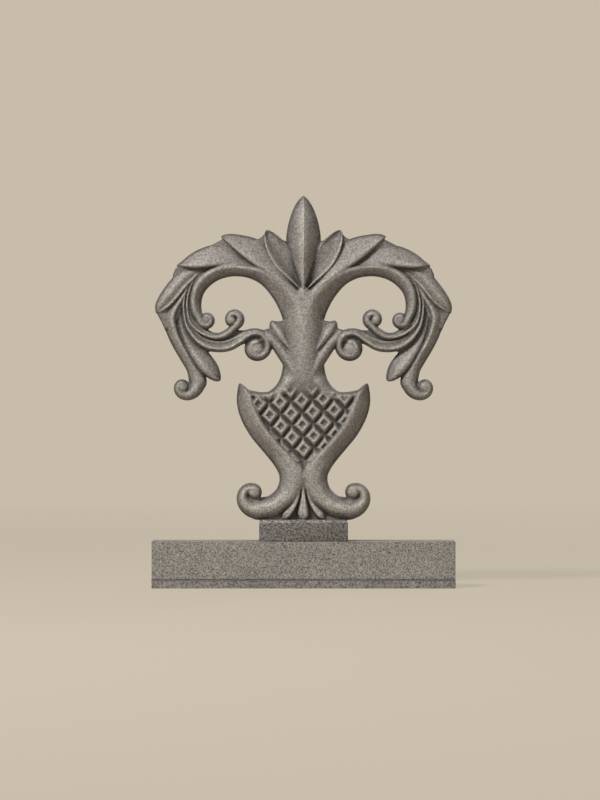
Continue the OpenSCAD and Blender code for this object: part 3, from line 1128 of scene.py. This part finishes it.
@dataclass(frozen=True)
class BlackenedSteel(Finish):
    """Forged mild steel blackened in oil.

    It is darker and a little smoother than the casting, with faint scale marks.
    """

    name: str = "blackened_steel"
    body: str = "#4A4642"
    scale: str = "#6A635C"
    metallic: float = 0.8
    roughness: float = 0.48
    scale_mm: float = 4.0  # flakes of forge scale

    def material(self) -> bpy.types.Material:
        """Makes the material.

        Returns:
            Material for the fixing bolt.
        """
        material, tree = blank_material(self.name)
        place = add_node(tree, "ShaderNodeTexCoord").outputs["Object"]
        flakes = add_node(
            tree,
            "ShaderNodeTexNoise",
            {"Vector": place, "Scale": per_metre(self.scale_mm), "Detail": 5.0, "Roughness": 0.6},
        ).outputs["Fac"]
        colour = add_node(
            tree,
            "ShaderNodeMix",
            {"Factor": flakes, "A": linear(self.body), "B": linear(self.scale)},
            data_type="RGBA",
        ).outputs["Result"]
        dull = add_node(
            tree,
            "ShaderNodeMapRange",
            {"Value": flakes, "To Min": self.roughness - 0.1, "To Max": self.roughness + 0.15},
        ).outputs[0]
        bumps = add_node(
            tree, "ShaderNodeBump", {"Height": flakes, "Strength": 0.4, "Distance": 0.2 * MM}
        ).outputs[0]
        self.cover(tree, colour, dull, bumps)
        return material


# ---------------------------------------------------------------- the casting


@dataclass(frozen=True)
class ShadeAndWear:
    """Painted highlight and painted shade on the casting, partly for rubbing, stored at its points.

    A value over 0 stands proud of what is round it, and one under 0 is sunk. The finish paints
    the first lighter and the second darker, as painted highlight and painted shade.
    """

    edge_shade: float = 3.2  # width of the band of painted shade along every edge
    edge_depth: float = 1.1  # how far that band counts as sunk
    proud_from: float = 13.8  # height over which the iron is painted lighter, for rubbing and as painted highlight
    proud_gain: float = 0.5
    proud_most: float = 1.2
    flank_value: float = -0.55  # painted shade on flanks, which face sideways
    flank_from: float = 0.12  # share of the facing, from where a flank turns into a front
    flank_span: float = 0.33
    block_value: float = -0.6  # on the plinth
    chamfer_value: float = -0.1  # on its chamfer, which faces up: painted lighter than the block, as lit from above
    # name, reach in millimetres and share of the proud value of each attribute
    reaches: tuple[tuple[str, float, float], ...] = (
        ("fine_relief", 1.2, 0.0),
        ("broad_relief", 4.0, 1.0),
    )

    def mark(self, mesh: bpy.types.Mesh, relief: Relief, chamfer: float) -> None:
        """Writes each point's painted highlight and painted shade: how far it stands over or under
        its surroundings.

        Args:
            mesh: the casting's mesh.
            relief: the relief it was made from.
            chamfer: height of the plinth's chamfer.
        """
        x, _, z = self._read(mesh.vertices, "co") / MM
        z = z - ORNAMENT_Z
        # sideways flanks take painted shade
        facing = np.abs(self._read(mesh.vertex_normals, "vector")[1])
        front = np.clip((facing - self.flank_from) / self.flank_span, 0, 1)
        here = (relief.inside > 0).astype(float)
        flat = np.clip(relief.height, 0, None) * here
        # painted shade in a band along every edge
        edge = self.edge_depth * (1 - np.clip(relief.inside / self.edge_shade, 0, 1))
        proud = (relief.height - self.proud_from) * self.proud_gain
        proud = np.clip(proud, 0, self.proud_most)
        # plinth darker; its chamfer, which faces up, painted lighter as lit from above
        block = np.clip((z + chamfer) * 2, self.block_value, self.chamfer_value)
        for name, reach, share in self.reaches:
            wide = reach / relief.pitch
            mean = blur(flat, wide) / np.maximum(blur(here, wide), 0.05)
            held = np.clip(relief.inside / (2 * reach), 0, 1)
            stands = (relief.height - mean) * held - edge + share * proud
            value = self._sample(relief, np.where(here > 0, stands, 0.0), x, z)
            value = value * front + self.flank_value * (1 - front)
            self._store(mesh, name, np.where(z < 0, block, value))
        self._store(mesh, "open_grain", z < 0)

    def _read(self, points: bpy.types.bpy_prop_collection, name: str) -> np.ndarray:
        """Reads a vector of each point, as three rows.

        Args:
            points: the mesh's points or their normals.
            name: the vector's property.

        Returns:
            One row each for X, Y and Z.
        """
        flat = np.empty(len(points) * 3)
        points.foreach_get(name, flat)
        return flat.reshape(-1, 3).T

    def _sample(
        self, relief: Relief, field: np.ndarray, x: np.ndarray, z: np.ndarray
    ) -> np.ndarray:
        """Reads a field of the relief between its grid points.

        Args:
            relief: the relief, for its grid.
            field: one value for each grid point.
            x: places across, in millimetres.
            z: heights over the plinth's top, in millimetres.

        Returns:
            The value at each place.
        """
        i = np.clip((x - relief.x[0]) / relief.pitch, 0, len(relief.x) - 1.001)
        k = np.clip((z - relief.z[0]) / relief.pitch, 0, len(relief.z) - 1.001)
        i0, k0 = i.astype(int), k.astype(int)
        u, v = i - i0, k - k0
        near = field[i0, k0] * (1 - u) + field[i0 + 1, k0] * u
        far = field[i0, k0 + 1] * (1 - u) + field[i0 + 1, k0 + 1] * u
        return near * (1 - v) + far * v

    def _store(self, mesh: bpy.types.Mesh, name: str, value: np.ndarray) -> None:
        """Stores one value for each point of the mesh."""
        layer = mesh.attributes.new(name, "FLOAT", "POINT")
        layer.data.foreach_set("value", value.astype(np.float32))


@dataclass(frozen=True)
class Casting:
    """The whole casting, which stands for the CAD node of the finial."""

    name: str = "finial_casting"
    crown: Crown = Crown()
    arm: Arm = Arm()
    stem: Stem = Stem()
    shield: Shield = Shield()
    fan: Fan = Fan()
    plinth: Plinth = Plinth()
    shade_and_wear: ShadeAndWear = ShadeAndWear()
    finish: CastIron = CastIron()
    pitch: float = 0.6
    quick_pitch: float = 0.9
    sand_mm: float = 0.36  # how far foundry sand rounds every edge
    outline_mm: float = 1.6  # how far the casting's outline is rounded
    foot_mm: float = 1.2  # fillet between the ornament and the plinth
    band_mm: float = 2.0  # depth on each side of the skin that is worked out
    max_triangles: int = 190_000
    sliver_mm: float = 0.01

    def relief(self, pitch: float) -> Relief:
        """Carves the relief.

        Args:
            pitch: grid step in millimetres.

        Returns:
            The finished relief.
        """
        relief = Relief(pitch)
        for part in (self.arm, self.stem, self.crown, self.fan, self.shield):
            part.carve(relief)
        relief.soften(self.sand_mm)
        return relief

    def build(self) -> bpy.types.Object:
        """Builds the mesh, marks its painted highlight and painted shade, and dresses it.

        Returns:
            The casting in its place.
        """
        relief = self.relief(self.pitch)
        points, quads = self._skin(relief)
        mesh = bpy.data.meshes.new(self.name)
        mesh.from_pydata(points * MM, [], quads)
        mesh.update()
        casting = bpy.data.objects.new(self.name, mesh)
        bpy.context.scene.collection.objects.link(casting)
        self._thin(casting)
        self._clean(casting.data)
        self.shade_and_wear.mark(casting.data, relief, self.plinth.chamfer)
        casting.data.shade_smooth()
        casting.data.materials.append(self.finish.material())
        return casting

    def _skin(self, relief: Relief) -> tuple[np.ndarray, np.ndarray]:
        """Turns the relief, in front and behind, and the plinth into one closed skin.

        Args:
            relief: the carved relief.

        Returns:
            Points in millimetres over the rail's foot, and quads.
        """
        pitch, band = relief.pitch, self.band_mm
        half = math.ceil((self.plinth.depth / 2 + band) / pitch)
        y = np.arange(-half, half + 1) * pitch
        lowest = round(-(self.plinth.height + band) / pitch)
        below = np.arange(lowest, round(relief.z[0] / pitch)) * pitch
        z = np.concatenate([below, relief.z])
        pad = ((0, 0), (len(below), 0))
        height = np.pad(relief.height, pad, constant_values=FAR)[:, None, :]
        edge = np.pad(relief.inside, pad, constant_values=FAR)[:, None, :]
        grid = (relief.x[:, None, None], y[None, :, None], z[None, None, :])
        solid = -join_max(np.abs(grid[1]) - height, 0.0 * grid[1] - edge, self.outline_mm)
        # the ornament ends just inside the plinth
        solid = np.where(grid[2] < 0, np.minimum(solid, grid[2] + 1.0), solid)
        solid = join_max(solid, self.plinth.inside(*grid), self.foot_mm)
        volume = openvdb.FloatGrid(band)
        volume.copyFromArray(np.clip(-solid, -band, band).astype(np.float32))
        points, _, quads = volume.convertToPolygons(isovalue=0.0, adaptivity=0.0)
        start = np.array([relief.x[0], y[0], z[0] + ORNAMENT_Z])
        return points * pitch + start, quads

    def _thin(self, casting: bpy.types.Object) -> None:
        """Thins the mesh to the triangles that the part may have.

        Args:
            casting: the casting, whose mesh is replaced.
        """
        triangles = 2 * len(casting.data.polygons)
        if triangles <= self.max_triangles:
            return
        thin = casting.modifiers.new("thin", "DECIMATE")
        thin.ratio = self.max_triangles / triangles
        view = bpy.context.evaluated_depsgraph_get()
        dense = casting.data
        casting.data = bpy.data.meshes.new_from_object(casting.evaluated_get(view))
        casting.modifiers.remove(thin)
        bpy.data.meshes.remove(dense)
        casting.data.name = self.name

    def _clean(self, mesh: bpy.types.Mesh) -> None:
        """Drops the slivers that the thinning leaves.

        Args:
            mesh: the casting's mesh.
        """
        work = bmesh.new()
        work.from_mesh(mesh)
        bmesh.ops.dissolve_degenerate(work, dist=self.sliver_mm * MM, edges=work.edges)
        bmesh.ops.remove_doubles(work, dist=self.sliver_mm * MM, verts=work.verts)
        work.to_mesh(mesh)
        work.free()


# ---------------------------------------------------------------- CAD nodes that stay


@dataclass(frozen=True)
class KeptNode:
    """A CAD node that stays, with its edges eased by modifiers and a finish of its own."""

    node: str
    edge_mm: float
    finish: Finish
    weld_mm: float = 0.01
    flat_deg: float = 0.5  # faces that lean less than this become one
    sharp_deg: float = 40.0  # edges sharper than this are eased
    edge_steps: int = 3

    def dress(self, nodes: dict[str, bpy.types.Object]) -> bpy.types.Object:
        """Eases the edges and gives the node its finish.

        Args:
            nodes: the frame's CAD nodes by name.

        Returns:
            The node's object.
        """
        node = nodes[self.node]
        weld = node.modifiers.new("weld", "WELD")
        weld.merge_threshold = self.weld_mm * MM
        flat = node.modifiers.new("flat_faces", "DECIMATE")
        flat.decimate_type = "DISSOLVE"
        flat.angle_limit = math.radians(self.flat_deg)
        bevel = node.modifiers.new("eased_edges", "BEVEL")
        bevel.width = self.edge_mm * MM
        bevel.segments = self.edge_steps
        bevel.limit_method = "ANGLE"
        bevel.angle_limit = math.radians(self.sharp_deg)
        material = self.finish.material()
        for slot in node.material_slots:
            slot.material = material
        if not node.material_slots:
            node.data.materials.append(material)
        return node


@dataclass(frozen=True)
class Rail(KeptNode):
    """Length of rail with a lip along its foot."""

    node: str = "rail"
    edge_mm: float = 0.4
    finish: Finish = BarIron()


@dataclass(frozen=True)
class FixingBolt(KeptNode):
    """Square-headed bolt in the rail's foot, which holds the casting down."""

    node: str = "fixing_bolt"
    edge_mm: float = 0.6
    finish: Finish = BlackenedSteel()


# ---------------------------------------------------------------- studio


@dataclass(frozen=True)
class Lamp:
    """A soft square lamp, in metres and watts."""

    name: str
    place: tuple[float, float, float]
    size: float
    power: float


@dataclass(frozen=True)
class Studio:
    """Pale floor and ground, soft light from the upper left and a camera square to the front."""

    paper: str = "#C8BDAA"
    sky_colour: str = "#FAFBFF"
    sky: float = 0.2
    target: tuple[float, float, float] = (0.0, 0.0, 0.1654)  # in metres, as are the next two
    distance: float = 2.947  # from the camera to the object's middle plane
    side_step: float = -0.0031  # the drawing is framed a little off its middle
    lens: float = 150.0  # millimetres, long as the drawing shows no perspective
    sensor: float = 36.0
    floor_half: float = 60.0  # metres
    tooth_mm: float = 3.0  # tooth of the card, drawn coarse enough to show
    glow: float = 0.75  # share of the floor's own colour that is seen, whatever the light
    glow_from: float = 0.6  # metres from the middle, where that share starts to grow
    glow_to: float = 2.5  # metres, where only its own colour is left
    lamps: tuple[Lamp, ...] = (
        Lamp("key", (-1.0, -1.35, 1.75), 0.5, 53.0),
        Lamp("fill", (1.2, -2.0, 0.4), 1.2, 5.0),
        Lamp("back", (1.3, 2.2, 1.6), 1.2, 16.0),
    )

    def build(self) -> None:
        """Sets up the floor, lamps, world and camera."""
        self._floor()
        for lamp in self.lamps:
            self._lamp(lamp)
        self._world()
        self._camera()
        bpy.context.scene.view_settings.view_transform = "Standard"

    def _floor(self) -> None:
        """Lays a floor that runs out to the horizon."""
        far = self.floor_half
        mesh = bpy.data.meshes.new("floor")
        around = [(-far, -far, 0), (far, -far, 0), (far, far, 0), (-far, far, 0)]
        mesh.from_pydata(around, [], [(0, 1, 2, 3)])
        floor = bpy.data.objects.new("floor", mesh)
        bpy.context.scene.collection.objects.link(floor)
        mesh.materials.append(self._card())

    def _seen(self, tree: bpy.types.NodeTree) -> bpy.types.NodeSocket:
        """Gives 1 for what the camera, or a reflection, sees.

        Args:
            tree: node tree of a material or world.

        Returns:
            Socket with the value.
        """
        path = add_node(tree, "ShaderNodeLightPath").outputs
        seen = {0: path["Is Camera Ray"], 1: path["Is Glossy Ray"]}
        return add_node(tree, "ShaderNodeMath", seen, operation="MAXIMUM").outputs[0]

    def _card(self) -> bpy.types.Material:
        """Makes matt card with a faint tooth, which turns into the plain ground far away.

        Returns:
            The floor's material.
        """
        material, tree = blank_material("matt_card")
        place = add_node(tree, "ShaderNodeTexCoord").outputs["Object"]
        tooth = add_node(
            tree,
            "ShaderNodeTexNoise",
            {"Vector": place, "Scale": per_metre(self.tooth_mm), "Detail": 3.0},
        ).outputs["Fac"]
        bumps = add_node(
            tree, "ShaderNodeBump", {"Height": tooth, "Strength": 0.2, "Distance": 0.1 * MM}
        ).outputs[0]
        shader = add_node(
            tree,
            "ShaderNodeBsdfPrincipled",
            {"Base Color": linear(self.paper), "Roughness": 0.9, "Normal": bumps},
        ).outputs[0]
        plain = add_node(tree, "ShaderNodeEmission", {"Color": linear(self.paper)}).outputs[0]
        away = add_node(tree, "ShaderNodeVectorMath", {0: place}, operation="LENGTH").outputs[1]
        share = add_node(
            tree,
            "ShaderNodeMapRange",
            {
                "Value": away,
                "From Min": self.glow_from,
                "From Max": self.glow_to,
                "To Min": self.glow,
            },
        ).outputs[0]
        shown = add_node(
            tree, "ShaderNodeMath", {0: self._seen(tree), 1: share}, operation="MULTIPLY"
        ).outputs[0]
        surface = add_node(tree, "ShaderNodeMixShader", {0: shown, 1: shader, 2: plain}).outputs[0]
        add_node(tree, "ShaderNodeOutputMaterial", {"Surface": surface})
        return material

    def _lamp(self, lamp: Lamp) -> None:
        """Hangs one lamp that looks at the middle of the object.

        Args:
            lamp: the lamp.
        """
        light = bpy.data.lights.new(lamp.name, "AREA")
        light.shape = "SQUARE"
        light.size = lamp.size
        light.energy = lamp.power
        hung = bpy.data.objects.new(lamp.name, light)
        bpy.context.scene.collection.objects.link(hung)
        hung.location = lamp.place
        aim = Vector(self.target) - Vector(lamp.place)
        hung.rotation_euler = aim.to_track_quat("-Z", "Y").to_euler()

    def _world(self) -> None:
        """Lights everything softly from a pale sky, behind which the plain ground shows."""
        world = bpy.data.worlds.new("pale_sky")
        bpy.context.scene.world = world
        world.use_nodes = True
        tree = world.node_tree
        tree.nodes.clear()
        sky = add_node(
            tree, "ShaderNodeBackground", {"Color": linear(self.sky_colour), "Strength": self.sky}
        ).outputs[0]
        ground = add_node(tree, "ShaderNodeBackground", {"Color": linear(self.paper)}).outputs[0]
        shown = add_node(
            tree, "ShaderNodeMixShader", {0: self._seen(tree), 1: sky, 2: ground}
        ).outputs[0]
        add_node(tree, "ShaderNodeOutputWorld", {"Surface": shown})

    def _camera(self) -> None:
        """Sets the camera square to the front, at the drawing's framing."""
        lens = bpy.data.cameras.new("camera")
        lens.lens = self.lens
        lens.sensor_width = self.sensor
        lens.sensor_fit = "AUTO"
        camera = bpy.data.objects.new("camera", lens)
        bpy.context.scene.collection.objects.link(camera)
        camera.location = (self.side_step, -self.distance, self.target[2])
        camera.rotation_euler = (math.pi / 2, 0.0, 0.0)
        bpy.context.scene.camera = camera


# ---------------------------------------------------------------- assembly


def main() -> None:
    """Builds the casting, dresses the rail and bolt, and sets up the studio."""
    logging.basicConfig(level=logging.INFO, format="%(name)s: %(message)s")
    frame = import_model()

    casting = Casting().build()
    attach(casting, BODY)
    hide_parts("finial")
    log.info("%s: %d faces", casting.name, len(casting.data.polygons))

    for part in (Rail(), FixingBolt()):
        piece = part.dress(frame["nodes"])
        log.info("%s: %s", piece.name, part.finish.name)

    Studio().build()


if __name__ == "__main__":
    main()
